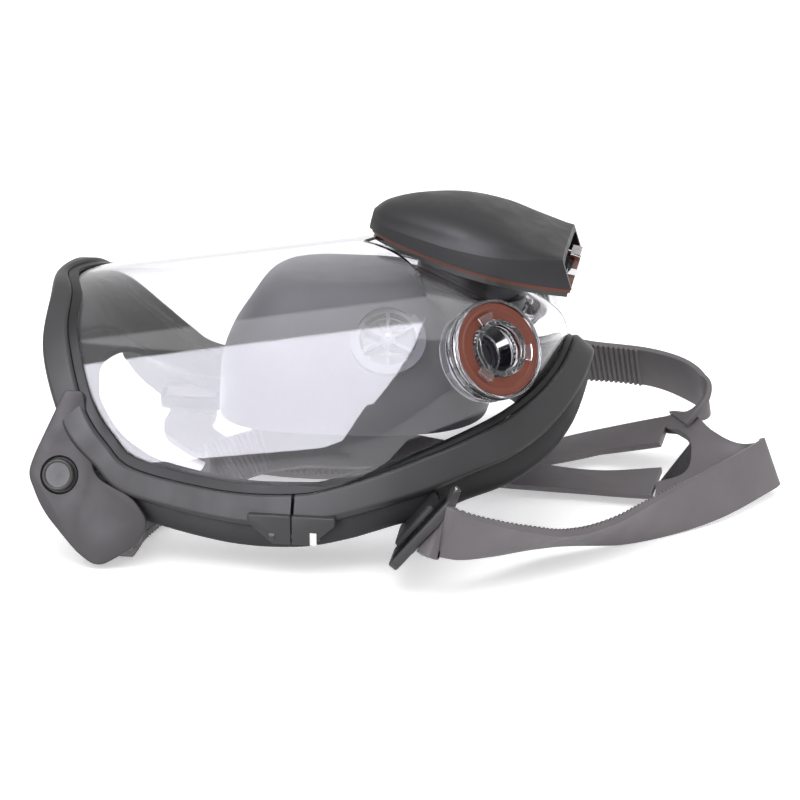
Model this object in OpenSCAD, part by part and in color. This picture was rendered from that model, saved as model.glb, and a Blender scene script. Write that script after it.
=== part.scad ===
// Full face respirator with twin bayonet ports, lying on its back.
// X runs from the forehead to the chin, Y to the wearer's left, Z up from the surface it lies on.
// The origin lies on that surface, under the middle of the face opening.

/* [Lens] */
// Radius of the cylindrical part of the lens
lens_radius = 73; // [72:0.5:75]
// Thickness of the lens
lens_t = 2.2; // [1.6:0.1:2.4]
// Rise of the lens crest towards the chin, in degrees
lens_rise = 9; // [8.5:0.1:9.5]

/* [Frame and face seal] */
// Thickness of the frame band in front of the lens surface
band_t = 2.8; // [2.2:0.1:3.4]
// Width of the lip that covers the lens edge
lip_w = 3; // [2:0.5:4]
// Wall thickness of the face seal
seal_t = 2.6; // [2:0.1:3]
// Diameter of the two frame screws
screw_d = 2.6; // [2:0.2:3]

/* [Ports] */
// Outer diameter of the clear port ring
port_d = 37; // [36.5:0.5:40]
// Bore of the port collar
port_bore_d = 17; // [16:0.5:18]
// Outer diameter of the port gasket
gasket_d = 34; // [32:0.5:35]
// Travel of each valve disc
valve_lift = 1; // [0.5:0.1:1.2]

/* [Exhalation unit] */
// Length of the exhalation cover
cover_len = 80; // [76:1:82]
// Half width of the exhalation cover at its widest
cover_half_w = 31; // [29:0.5:32]
// Wall thickness of the cover
cover_t = 2; // [1.6:0.1:2.4]
// Outer diameter of the neck that passes through the lens
neck_d = 40; // [38:0.5:42]

/* [Harness] */
// Width of a strap
strap_w = 20; // [18:0.5:21]
// Thickness of a strap
strap_t = 2.4; // [2:0.1:2.8]

/* [Hidden] */
$fn = 64;
gap = 0.3;
sides = [-1, 1];

// Colours of the materials
c_frame = [0.25, 0.24, 0.25];
c_seal = [0.16, 0.15, 0.16];
c_cup = [0.36, 0.35, 0.37];
c_black = [0.08, 0.08, 0.08];
c_clear = [0.85, 0.85, 0.92, 0.4];
c_gasket = [0.45, 0.22, 0.16];
c_strap = [0.45, 0.43, 0.45];
c_steel = [0.75, 0.75, 0.76];

// Lens edge, from the forehead to the chin, one side
RING = [[-95, 0, 86], [-89, 21, 83.5], [-85, 42, 74], [-75, 62, 55], [-65, 68.5, 43],
    [-54, 71.5, 35], [-22, 73, 29], [4, 73, 29], [20, 71, 32], [36, 67, 37], [48, 62, 41],
    [60, 56, 45], [75, 46, 51], [86, 33, 57], [93, 18, 63], [96, 0, 68]];
// Outer edge of the frame band, at the same stations
BAND = [[-101, 0, 85], [-98, 22, 83.5], [-95, 46, 68], [-83, 66, 47], [-70, 71.5, 34],
    [-57, 75, 25], [-22, 78.5, 18.5], [4, 79, 18], [22, 77, 21.5], [40, 73, 26.5],
    [53, 68, 30], [65, 61, 34], [80, 52, 39], [92, 38, 45], [101, 21, 54], [105, 0, 61]];
// Lowest outer line of the face seal
KEEL = [[-98, 0, 60], [-94, 21, 58], [-90, 43, 50], [-80, 61, 34], [-68, 68, 24],
    [-56, 73, 17], [-22, 77, 10.5], [4, 77.5, 10], [22, 75.5, 13], [40, 71, 18],
    [53, 66, 21], [65, 59, 25], [80, 50, 29], [92, 37, 35], [100, 21, 43], [103, 0, 50]];
// Edge of the seal lip around the face opening
LIP = [[-84, 0, 50], [-81, 18, 49], [-77, 32, 44], [-69, 42, 37], [-60, 48, 32],
    [-48, 52, 28], [-20, 55, 24], [3, 55, 24], [18, 54, 25], [33, 51, 27], [43, 47, 29],
    [52, 42, 31], [61, 34, 33], [69, 25, 35], [75, 13, 37], [77, 0, 38]];
last = len(RING) - 1;
split = 7;

// ---------- vectors, splines and lofts ----------
function unit(v) = v / max(norm(v), 0.000001);
function mix(a, b, t) = a + (b - a) * t;
function clampi(i, n) = min(max(i, 0), n);
// Catmull-Rom spline through the points of one list
function blend4(a, b, c, d, t) =
    0.5 * (2 * b + (c - a) * t + (2 * a - 5 * b + 4 * c - d) * t * t
    + (3 * b - a - 3 * c + d) * t * t * t);
function at(P, s) = let (n = len(P) - 1, i = clampi(floor(s), n - 1), t = s - i)
    blend4(P[clampi(i - 1, n)], P[i], P[i + 1], P[clampi(i + 2, n)], t);
// Same for a mirrored outline: a negative s is the right-hand side
function flip(p) = [p[0], -p[1], p[2]];
function half(P, s) = let (n = len(P) - 1, i = clampi(floor(s), n - 1), t = s - i,
    a = i == 0 ? flip(P[1]) : P[i - 1], d = i == n - 1 ? flip(P[n - 1]) : P[i + 2])
    blend4(a, P[i], P[i + 1], d, t);
function both(P, s) = s < 0 ? flip(half(P, -s)) : half(P, s);
// Closed outline: s runs from -last to +last
function wrap(s) = s > last ? s - 2 * last : s < -last ? s + 2 * last : s;
function loop_at(P, s) = both(P, wrap(s));

function turned(face) = [for (i = [len(face) - 1:-1:0]) face[i]];
// Six times the volume inside a list of triangles
function signed(P, F) = [for (f = F) P[f[0]] * cross(P[f[1]], P[f[2]])] * [for (f = F) 1];
// A solid through cross-sections that all have the same number of points.
// A shell's sections are an outer line and an inner line, joined across at each end.
module loft(rows, closed = false, shell = false) {
    n = len(rows);
    m = len(rows[0]);
    spans = closed ? n - 1 : n - 2;
    walls = [for (i = [0:spans], j = [0:m - 1])
        let (a = i * m + j, b = i * m + (j + 1) % m,
            c = ((i + 1) % n) * m + (j + 1) % m, d = ((i + 1) % n) * m + j)
        each [[a, b, c], [a, c, d]]];
    plain = [[for (j = [m - 1:-1:0]) j], [for (j = [0:m - 1]) (n - 1) * m + j]];
    first = [for (j = [0:m / 2 - 2]) each [[j, m - 1 - j, m - 2 - j], [j, m - 2 - j, j + 1]]];
    final = [for (f = first) [for (j = turned(f)) (n - 1) * m + j]];
    caps = closed ? [] : shell ? concat(first, final) : plain;
    faces = concat(walls, caps);
    middle = rows[floor(n / 2)][0];
    points = [for (r = rows) each r];
    local = [for (p = points) p - middle];
    polyhedron(points = points, convexity = 8,
        faces = signed(local, walls) > 0 ? [for (f = faces) turned(f)] : faces);
}

// Closed cross-section out of an outer and an inner line of points
function band_row(outer, inner) = concat(outer, [for (i = [len(inner) - 1:-1:0]) inner[i]]);

// Turns +Z to a direction at a place
module aim(p, d) {
    translate(p)
        rotate([0, acos(d[2] / norm(d)), atan2(d[1], d[0])])
            children();
}
// Mirrors a right-hand part to the left
module on_side(side) {
    mirror([0, side > 0 ? 1 : 0, 0])
        children();
}
module ring(r_out, r_in, z0, z1) {
    rotate_extrude()
        translate([r_in, z0])
            square([r_out - r_in, z1 - z0]);
}

// ---------- lens ----------
function crest(x) = 86 + (x + 95) * tan(lens_rise);
function lens_angle(p) = atan2(p[1], p[2] - crest(p[0]) + lens_radius);
function on_cylinder(x, a, r) = [x, r * sin(a), crest(x) - lens_radius + r * cos(a)];
chin_fall = 0.19;
function crease_x(a) = 18 + 30 * max(sin(2.3 * abs(a)), 0);
function chin_station(a) = last - 7 * pow(abs(a) / 90, 1.5);
// Point of the lens: s is the station on the forehead edge, v runs 0 to 1 to the chin edge
function lens_point(s, v, inset) =
    let (edge = both(RING, s), a = lens_angle(edge), r = lens_radius - inset,
        fold = on_cylinder(crease_x(a), a, r), start = on_cylinder(edge[0], a, r),
        chin = both(RING, (a < 0 ? -1 : 1) * chin_station(a)),
        centre = [chin[0] - 20, 0, chin[2]],
        stop = chin - inset * unit(chin - centre))
    v < 0.5 ? mix(start, fold, 2 * v) :
    let (w = 180 * (v - 0.5), q = pow(sin(w), 0.67), c = 1 - pow(max(cos(w), 0), 0.67),
        fall = chin_fall * (stop[0] - fold[0]), x = mix(fold[0], stop[0], q))
    [x, mix(fold[1], stop[1], c),
        fold[2] - chin_fall * (x - fold[0]) - (fold[2] - fall - stop[2]) * c];
lens_stations = [for (i = [-14:14]) i * 0.5];
lens_steps = [0, 0.16, 0.33, 0.5, 0.57, 0.64, 0.71, 0.78, 0.86, 0.93, 1];

module lens() {
    rows = [for (s = lens_stations) band_row([for (v = lens_steps) lens_point(s, v, 0.1)],
        [for (v = lens_steps) lens_point(s, v, lens_t)])];
    color(c_clear)
        difference() {
            loft(rows, shell = true);
            for (side = sides)
                on_side(side)
                    aim(port_place, port_axis)
                        translate([0, 0, -30])
                            cylinder(d = port_d - 5, h = 40);
            aim(unit_place, unit_axis)
                translate([0, 0, -30])
                    cylinder(d = neck_d + 2 * gap, h = 40);
        }
}

// ---------- frame ----------
// Local directions of the frame: along the band's width, and out of its face
function frame_axes(s) =
    let (p = loop_at(RING, s), w = unit(loop_at(BAND, s) - p),
        along = unit(loop_at(RING, s + 0.2) - loop_at(RING, s - 0.2)),
        out = unit(cross(along, w)))
    [p, w, out, norm(loop_at(BAND, s) - p)];
function frame_row(s) =
    let (f = frame_axes(s), b = f[3])
    [for (q = [[-lip_w, 0.3], [-lip_w, 1.6], [-0.5, band_t], [0.6, band_t - 0.8],
        [1.8, band_t], [b - 1.2, band_t - 0.4], [b, band_t - 1.6], [b, -1], [b - 1, -2.2],
        [1, -2.2], [0.3, 0.3]])
        f[0] + f[1] * q[0] + f[2] * q[1]];
upper_stations = [for (i = [-28:28]) (i * split - sign(i) * 0.2) / 28];
lower_stations = [for (i = [0:56]) mix(split + 0.02, 2 * last - split - 0.02, i / 56)];

// Screw lug that hangs under the band beside the split
lug_y = 78;
lug_t = 3.6;
lug_low = 12;
lug_high = 20;
screw_z = 14.8;
split_x = 4;
module screw_lug(dir) {
    translate([split_x + dir * gap / 2, -lug_y, 0])
        rotate([90, 0, 0])
            linear_extrude(lug_t)
                polygon([[0, lug_high], [0, lug_low], [dir * 7, lug_low],
                    [dir * 16, lug_high]]);
}
nut_w = 4.8;
nut_t = 2.4;
nut_x = 7;
head_x = 6;
module screw_holes() {
    for (side = sides)
        on_side(side)
            translate([split_x, -lug_y - lug_t / 2, screw_z])
                rotate([0, 90, 0]) {
                    translate([0, 0, -25])
                        cylinder(d = screw_d + 0.2, h = 50);
                    translate([0, 0, -25])
                        cylinder(d = 1.8 * screw_d + 0.4, h = 25 - head_x);
                    translate([-nut_w / 2 - 0.1, -nut_w, nut_x - 0.1])
                        cube([nut_w + 0.2, 2 * nut_w, nut_t + 0.2]);
                }
}
module lug_pair(dir) {
    difference() {
        for (side = sides)
            on_side(side)
                screw_lug(dir);
        screw_holes();
    }
}
module lens_frame_upper() {
    color(c_frame) {
        loft([for (s = upper_stations) frame_row(s)]);
        lug_pair(-1);
    }
}
module lens_frame_lower() {
    color(c_frame) {
        loft([for (s = lower_stations) frame_row(s)]);
        lug_pair(1);
    }
}
module frame_screws() {
    color(c_black)
        for (side = sides)
            on_side(side)
                translate([split_x - head_x, -lug_y - lug_t / 2, screw_z])
                    rotate([0, 90, 0]) {
                        translate([0, 0, -1])
                            cylinder(d = screw_d, h = head_x + nut_x + nut_t + 2);
                        translate([0, 0, -2])
                            cylinder(d = 1.8 * screw_d, h = 1.9);
                    }
}
module frame_nuts() {
    color(c_steel)
        for (side = sides)
            on_side(side)
                translate([split_x + nut_x, -lug_y - lug_t / 2, screw_z])
                    rotate([0, 90, 0])
                        difference() {
                            translate([-nut_w / 2, -nut_w / 2, 0])
                                cube([nut_w, nut_w, nut_t]);
                            translate([0, 0, -1])
                                cylinder(d = screw_d + 0.02, h = 5);
                        }
}

// ---------- face seal ----------
// Wall line from under the frame, round the keel, to the lip of the face opening
function seal_line(s, inset) =
    let (f = frame_axes(s), k = loop_at(KEEL, s), l = loop_at(LIP, s),
        inward = -inset * unit([k[0], k[1], 0]), up = [0, 0, inset])
    [f[0] + f[1] * 2 - f[2] * (2.5 + inset),
        f[0] + f[1] * (f[3] - 0.5) - f[2] * (2.5 + 0.6 * inset) + inward,
        k + inward + up, mix(k, l, 0.22) + up - [0, 0, 2], l + up];
seal_stations = [for (i = [0:59]) -last + i * last / 30];
module face_seal() {
    color(c_seal)
        loft([for (s = seal_stations) band_row(seal_line(s, 0), seal_line(s, seal_t))],
            closed = true);
}

// ---------- temple tabs ----------
tab_out = 84;
tab_lean = 21.8;
tab_t = 2.8;
TAB = [[-83, 64, 2], [-93, 40, 7], [-95, 33, 6], [-89, 20, 7], [-75, 5, 8], [-67, 0, 8],
    [-53, 8.5, 6], [-48.5, 17, 5], [-55, 26, 4], [-70, 33, 5], [-76, 64, 2]];
button_at = [-83, 33];
keeper_x = -66;
// Rounds the corners of an outline; the third number of a corner is its radius
function corner(P, i) =
    let (n = len(P), p = [P[i][0], P[i][1]], q = P[(i + n - 1) % n], r = P[(i + 1) % n],
        a = unit([q[0], q[1]] - p), b = unit([r[0], r[1]] - p),
        reach = min(P[i][2], 0.45 * norm([q[0], q[1]] - p), 0.45 * norm([r[0], r[1]] - p)))
    [for (t = [0:0.25:1]) p + a * reach * (1 - t) * (1 - t) + b * reach * t * t];
function rounded(P) = [for (i = [0:len(P) - 1]) each corner(P, i)];
// Lays the tab's own plane down beside the mask
module on_tab() {
    translate([0, -tab_out, 0])
        rotate([90 - tab_lean, 0, 0])
            children();
}
module temple_tab(side) {
    on_side(side)
        color(c_frame)
            on_tab()
                difference() {
                    linear_extrude(tab_t)
                        polygon(rounded(TAB));
                    translate([button_at[0], button_at[1], tab_t - 1])
                        cylinder(d = 14, h = 2);
                    translate([button_at[0], button_at[1], -1])
                        cylinder(d = 9, h = 5);
                }
}
module temple_button(side) {
    on_side(side)
        color(c_black)
            on_tab()
                translate([button_at[0], button_at[1], 0]) {
                    translate([0, 0, -1.2])
                        cylinder(d = 8, h = 5);
                    translate([0, 0, tab_t + 0.8])
                        cylinder(d = 12, h = 2);
                }
}
module temple_keeper(side) {
    on_side(side)
        color(c_black)
            on_tab()
                translate([keeper_x - 13, 10, -6.6])
                    difference() {
                        cube([26, 6, 6.5]);
                        translate([2, -1, 1.6])
                            cube([22, 8, 3.6]);
                    }
}
module temple_tab_right() { temple_tab(-1); }
module temple_tab_left() { temple_tab(1); }
module temple_button_right() { temple_button(-1); }
module temple_button_left() { temple_button(1); }
module temple_keeper_right() { temple_keeper(-1); }
module temple_keeper_left() { temple_keeper(1); }

// ---------- nose cup ----------
cup_mid = [15, 0, 40];
cup_size = [51, 40, 53];
cup_t = 2;
function root_of(v) = sign(v) * pow(abs(v), 0.68);
// Boxy dome: a runs round the rim, e is the height angle
function cup_point(a, e, inset) =
    let (r = pow(max(cos(e), 0), 0.68), widen = 1 - 0.12 * cos(a))
    cup_mid + [(cup_size[0] - inset) * r * root_of(cos(a)),
        (cup_size[1] - inset) * r * root_of(sin(a)) * widen,
        (cup_size[2] - inset) * pow(sin(e), 0.68)];
module cup_solid(inset, low) {
    rows = [for (e = [0, 12, 26, 42, 58, 72]) [for (i = [0:31]) cup_point(i * 11.25, e, inset)
        - [0, 0, e == 0 ? low : 0]]];
    loft(rows);
}
check_place = [32, -31, 74];
check_axis = unit([0.1, -0.72, 0.68]);
module nose_cup() {
    color(c_cup)
        difference() {
            cup_solid(0, 0);
            cup_solid(cup_t, 1);
            for (side = sides)
                on_side(side)
                    aim(check_place, check_axis)
                        translate([0, 0, -10])
                            cylinder(d = 24, h = 20);
            on_unit() {
                translate([0, 0, neck_low - 8])
                    cylinder(d = neck_d + 0.1, h = 40);
                translate([0, 0, nut_low - 0.3])
                    cylinder(r = nut_r + 0.5, h = 20);
            }
        }
}
// Round seat with six spokes and a hub
module spoked_seat(r, rim, t, hub_r, hole_r, spokes) {
    difference() {
        union() {
            difference() {
                cylinder(r = r, h = t);
                translate([0, 0, -1])
                    cylinder(r = r - rim, h = t + 2);
            }
            for (k = [0:spokes - 1])
                rotate([0, 0, k * 360 / spokes])
                    translate([0, -0.6, 0])
                        cube([r - rim / 2, 1.2, t]);
            cylinder(r = hub_r, h = t);
        }
        translate([0, 0, -1])
            cylinder(r = hole_r, h = t + 2);
    }
}
// Thin flap with its stem and the bulb that holds it
module flap(r, t, stem_r, stem_h) {
    cylinder(r = r, h = t);
    translate([0, 0, t])
        cylinder(r = stem_r, h = stem_h);
    translate([0, 0, t + stem_h])
        cylinder(r = stem_r + 0.8, h = 1.4);
}
module check_valve_seat(side) {
    on_side(side)
        color(c_cup)
            aim(check_place, check_axis) {
                spoked_seat(14, 3.5, 2.4, 2.6, 1.3, 6);
                translate([0, 0, -4])
                    ring(11.9, 10.5, 0, 4.2);
            }
}
module check_valve_disc(side) {
    on_side(side)
        color(c_clear)
            aim(check_place, check_axis)
                translate([0, 0, -1])
                    flap(9.6, 0.8, 1.1, 3.9 + valve_lift);
}
module check_valve_seat_right() { check_valve_seat(-1); }
module check_valve_seat_left() { check_valve_seat(1); }
module check_valve_disc_right() { check_valve_disc(-1); }
module check_valve_disc_left() { check_valve_disc(1); }

// ---------- ports ----------
port_place = [75, -50, 79.5];
port_axis = unit([0.61, -0.66, 0.44]);
port_depth = 14;
collar_r = port_bore_d / 2 + 2;
seat_z = -2.2;
// Half section of the port: collar, gasket channel, bayonet rim and skirt
port_profile = [[port_bore_d / 2, -port_depth], [collar_r, -port_depth],
    [collar_r, seat_z - 2.5], [port_d / 2 - 2.6, seat_z - 2.5], [port_d / 2 - 2.6, 1 - port_depth],
    [port_d / 2 - 1, 1 - port_depth], [port_d / 2 - 1, seat_z - 2.5],
    [port_d / 2, seat_z - 2], [port_d / 2, 0.4], [gasket_d / 2 + 0.2, 0.4],
    [gasket_d / 2 + 0.2, seat_z], [collar_r, seat_z], [collar_r, 2.2], [port_bore_d / 2, 2.2]];
module port(side) {
    on_side(side)
        color(c_clear)
            aim(port_place, port_axis) {
                rotate_extrude()
                    polygon(port_profile);
                // three bayonet lugs
                for (k = [0:2])
                    rotate([0, 0, 60 + 120 * k])
                        rotate_extrude(angle = 26)
                            translate([collar_r - 0.5, 0.4])
                                square([3.4, 1.5]);
            }
}
module port_gasket(side) {
    on_side(side)
        color(c_gasket)
            aim(port_place, port_axis) {
                ring(gasket_d / 2, collar_r + 0.1, seat_z, -0.2);
                ring(gasket_d / 2 - 2, gasket_d / 2 - 2.8, -0.3, 0.2);
            }
}
module inhalation_seat(side) {
    on_side(side)
        color(c_cup)
            aim(port_place, port_axis)
                translate([0, 0, -port_depth - 4]) {
                    spoked_seat(collar_r, 2.5, 1.2, 2.6, 1.3, 3);
                    ring(collar_r, port_bore_d / 2 + 0.6, 0.5, 4);
                }
}
module inhalation_disc(side) {
    on_side(side)
        color(c_black)
            aim(port_place, port_axis)
                translate([0, 0, -port_depth - 5])
                    flap(port_bore_d / 2 + 0.8, 0.8, 1.1, 1.4 + valve_lift);
}
module port_right() { port(-1); }
module port_left() { port(1); }
module port_gasket_right() { port_gasket(-1); }
module port_gasket_left() { port_gasket(1); }
module inhalation_seat_right() { inhalation_seat(-1); }
module inhalation_seat_left() { inhalation_seat(1); }
module inhalation_disc_right() { inhalation_disc(-1); }
module inhalation_disc_left() { inhalation_disc(1); }

// ---------- exhalation unit under the cover ----------
unit_tilt = 11;
unit_place = [60, 0, 101];
unit_axis = [sin(unit_tilt), 0, cos(unit_tilt)];
module on_unit() {
    translate(unit_place)
        rotate([0, unit_tilt, 0])
            children();
}
neck_low = -27;
nut_low = -16;
nut_r = neck_d / 2 + 2.5;
bore_r = neck_d / 2 - 3;
module centre_adapter() {
    color(c_black)
        on_unit() {
            ring(neck_d / 2, bore_r, neck_low, -2);
            ring(neck_d / 2 + 4, bore_r, -4, -2);
        }
}
module adapter_nut() {
    color(c_black)
        on_unit()
            ring(nut_r, neck_d / 2 + 0.1, nut_low, nut_low + 4);
}
module exhalation_seat() {
    color(c_cup)
        on_unit()
            translate([0, 0, 0.2])
                spoked_seat(bore_r + 2, 3, 2, 3, 1.3, 6);
}
module exhalation_disc() {
    color(c_gasket)
        on_unit()
            translate([0, 0, 2.4])
                mirror([0, 0, 1])
                    translate([0, 0, -0.9])
                        flap(bore_r, 0.8, 1.1, 2.6 + valve_lift);
}
// Half width of the cover along its length, from the tip (0) to the open end (1)
COVER_W = [[0, 5], [0.06, 11], [0.2, 19], [0.4, 27], [0.6, 31], [0.8, 30], [1, 25]];
COVER_SKIRT = [5, 6, 7, 8, 9.5, 11, 12];
COVER_TOP = [8, 12.5, 17, 20, 19, 15.5, 12.6];
function cover_station(s) = at([for (p = COVER_W) p[0]], s);
function cover_half(s) = at([for (p = COVER_W) p[1]], s) * cover_half_w / 31;
function cover_outline(inset) =
    let (line = [for (i = [0:18]) let (s = i / 3)
        [(cover_len - 2 * inset) * (cover_station(s) - 0.5), cover_half(s) - inset]])
    concat(line, [for (i = [18:-1:0]) [line[i][0], -line[i][1]]]);
module cover_base() {
    color(c_black)
        on_unit()
            translate([0, 0, -2])
                difference() {
                    union() {
                        linear_extrude(2)
                            polygon(cover_outline(2));
                        // strut from the tip down to the lens
                        translate([0, 9, 2])
                            rotate([90, 0, 0])
                                linear_extrude(18)
                                    polygon([[-37, -1], [-26, -1], [-26, -3], [-32, -2.6]]);
                    }
                    translate([0, 0, -1])
                        cylinder(r = bore_r, h = 4);
                }
}
module cover_gasket() {
    color(c_gasket)
        on_unit()
            linear_extrude(1.2)
                difference() {
                    polygon(cover_outline(1.2));
                    polygon(cover_outline(3.2));
                }
}
// Cross-section of the cover: skirt, ridge and arched roof
cover_low = 1.6;
// The open end is cut at a slant, so its points lean back as they rise
end_lean = 28;
function lean(p, s) = [p[0] - max(s - 4, 0) / 2 * p[2] * tan(end_lean), p[1], p[2]];
function cover_row(s, inset) =
    let (w = cover_half(s) - inset, k = at(COVER_SKIRT, s) - inset,
        h = at(COVER_TOP, s) - inset, x = cover_len * (cover_station(s) - 0.5))
    [for (p = concat([[x, -w, cover_low], [x, -w, k]],
        [for (a = [170:-20:10]) [x, (w - 1.5) * cos(a), k + (h - k) * pow(sin(a), 0.75)]],
        [[x, w, k], [x, w, cover_low]])) lean(p, s)];
// The hollow starts flat at the tip, so the tip stays solid, and its rim is chamfered
rim_chamfer = 0.3;
function flat(row, share) =
    [for (p = row) [p[0], p[1], mix(cover_low, p[2], share) + rim_chamfer]];
module exhalation_cover() {
    color(c_frame)
        on_unit()
            loft([for (i = [0:18]) band_row(cover_row(i / 3, 0),
                flat(cover_row(i / 3, cover_t), i == 0 ? 0.05 : 1))], shell = true);
}
module cover_latch() {
    color(c_clear)
        on_unit()
            translate([cover_len / 2 - 4.5, -6, cover_low])
                cube([4, 12, 8]);
}

// ---------- lower buckles ----------
// Right-hand buckle: its bars run along bar_tilt in the XZ plane
hinge_place = [55, -79, 25];
bar_tilt = 40;
buckle_low = -20;
buckle_high = 14;
cheek_t = 2.4;
hinge_r = 1.2;
bar_reach = 13;
lug_top = 4;
module on_buckle() {
    translate(hinge_place)
        rotate([0, bar_tilt, 0])
            children();
}
module buckle_frame(side) {
    on_side(side)
        color(c_frame)
            on_buckle() {
                // two cheeks, joined by the strap bar
                for (z = [buckle_low, buckle_high - cheek_t])
                    translate([0, 0, z])
                        difference() {
                            translate([-1.8, -bar_reach - 2, 0])
                                cube([3.6, bar_reach + 4, cheek_t]);
                            translate([0, 0, -1])
                                cylinder(r = hinge_r + 0.05, h = 5);
                        }
                translate([-1.8, -bar_reach - 2, buckle_low + 1])
                    cube([3.6, 2.4, buckle_high - buckle_low - 2]);
            }
}
module buckle_wire(side) {
    on_side(side)
        color(c_steel)
            on_buckle()
                translate([0, -bar_reach + 4.2, buckle_low + cheek_t])
                    cylinder(d = 2, h = buckle_high - buckle_low - 2 * cheek_t);
}
module buckle_pin(side) {
    on_side(side)
        color(c_steel)
            on_buckle()
                translate([0, 0, buckle_low - 0.5])
                    cylinder(r = hinge_r, h = buckle_high - buckle_low + 1);
}
module buckle_lug(side) {
    on_side(side)
        color(c_black)
            on_buckle()
                difference() {
                    translate([-4, -3, buckle_low + cheek_t + 0.4])
                        cube([8, 15.5, lug_top - buckle_low - cheek_t - 0.4]);
                    translate([0, 0, buckle_low])
                        cylinder(r = hinge_r + 0.05, h = 40);
                }
}
module buckle_lug_right() { buckle_lug(-1); }
module buckle_lug_left() { buckle_lug(1); }
module buckle_frame_right() { buckle_frame(-1); }
module buckle_frame_left() { buckle_frame(1); }
module buckle_wire_right() { buckle_wire(-1); }
module buckle_wire_left() { buckle_wire(1); }
module buckle_pin_right() { buckle_pin(-1); }
module buckle_pin_left() { buckle_pin(1); }

// ---------- harness ----------
// Each strap is a list of points on its middle line, with the direction across its width
LOWER_RIGHT = [[[64.5, -92.5, 23.6], [0.62, 0, 0.78]], [[71, -88.5, 20.6], [0.5, -0.2, 0.84]],
    [[82, -77, 16], [0.35, -0.6, 0.72]], [[98, -60, 11], [0, -0.88, 0.47]],
    [[122, -40, 9.5], [-0.3, -0.8, 0.55]], [[150, -9, 11], [-0.5, -0.5, 0.7]],
    [[170, 22, 12.6], [-0.35, -0.05, 0.94]], [[173, 29, 12.8], [-0.36, 0, 0.93]]];
LOWER_LEFT = [[[71, 93, 29], [0.4, 0, 0.9]], [[82, 91, 31], [0.3, -0.3, 0.9]],
    [[100, 86, 32], [0.1, -0.45, 0.88]], [[122, 81, 32], [0, -0.45, 0.88]],
    [[137, 74, 30], [0, -0.4, 0.9]], [[146, 64, 27], [-0.1, -0.4, 0.9]],
    [[143, 55, 24], [0.4, -0.6, 0.6]], [[136, 51, 20], [0.65, -0.65, 0.2]]];
UPPER_LEFT = [[[131, 52, 15], [0, 0.98, 0.2]], [[105, 58, 7], [-0.1, 0.98, 0.1]],
    [[83, 47, 4.5], [-0.3, 0.95, 0]], [[55, 34, 3], [-0.3, 0.95, 0]], [[20, 25, 3], [-0.1, 1, 0]],
    [[-15, 23, 3], [0.2, 1, 0]], [[-42, 32, 3], [0.5, 0.85, 0]], [[-60, 50, 3], [0.9, 0.4, 0]],
    [[-66, 66, 2.6], [1, 0, 0]], [[-66, 75, 3.4], [1, 0, 0]], [[-66, 77.5, 7.4], [1, 0, 0]],
    [[-66, 76.2, 11], [1, 0, 0]], [[-66, 73.4, 18], [1, 0, 0]]];
UPPER_RIGHT = [[[130, 14, 7], [0, 0.98, 0.2]], [[107, 18, 4.5], [0, 1, 0.05]],
    [[85, 18, 5.5], [0, 1, 0.1]], [[58, 16, 9], [0, 0.95, 0.3]],
    [[33, 17, 12], [0, 0.85, 0.5]], [[8, 18, 14.5], [0.1, 0.75, 0.65]],
    [[-15, 13, 15], [0.2, 0.75, 0.6]], [[-38, 0, 11], [0.5, 0.75, 0.35]],
    [[-56, -28, 5.5], [0.85, 0.5, 0.1]], [[-65, -52, 3], [1, 0.15, 0]],
    [[-66, -66, 2.6], [1, 0, 0]], [[-66, -75, 3.4], [1, 0, 0]], [[-66, -77.5, 7.4], [1, 0, 0]],
    [[-66, -76.2, 11], [1, 0, 0]], [[-66, -73.4, 18], [1, 0, 0]]];
function strap_row(P, s, w, t) =
    let (line = [for (p = P) p[0]], across = [for (p = P) p[1]],
        along = unit(at(line, s + 0.05) - at(line, s - 0.05)), n0 = at(across, s),
        side = unit(n0 - along * (n0 * along)), face = cross(along, side), m = at(line, s))
    [m + side * w / 2 + face * t / 2, m + side * w / 2 - face * t / 2,
        m - side * w / 2 - face * t / 2, m - side * w / 2 + face * t / 2];
module strap(P, first, end, steps) {
    color(c_strap)
        loft([for (i = [0:steps])
            strap_row(P, mix(first, len(P) - 1 - end, i / steps), strap_w, strap_t)]);
}
module strap_lower_right() { strap(LOWER_RIGHT, 0, 0, 40); }
module strap_lower_left() { strap(LOWER_LEFT, 0, 0, 40); }
module strap_upper_right() { strap(UPPER_RIGHT, 0, 0, 60); }
module strap_upper_left() { strap(UPPER_LEFT, 0, 0, 60); }
// Crown plate: a curved sheet with a window, between the four straps
PLATE_RIM = [[[169, 29, 20], [176, 30, 2]], [[159, 31, 19], [164, 20, 3]],
    [[150, 38, 20.5], [152, 11, 3.5]], [[141, 50, 23], [141, 6, 4]],
    [[131, 62, 17], [130, 4, 5]]];
module crown_plate() {
    color(c_strap)
        loft([for (i = [0:32]) let (s = i / 8,
            a = at([for (p = PLATE_RIM) p[0]], s), b = at([for (p = PLATE_RIM) p[1]], s),
            d = unit(cross(unit(a - b), [1, 0, 0])) * strap_t / 2)
            [a + d, a - d, b - d, b + d]]);
}

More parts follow.
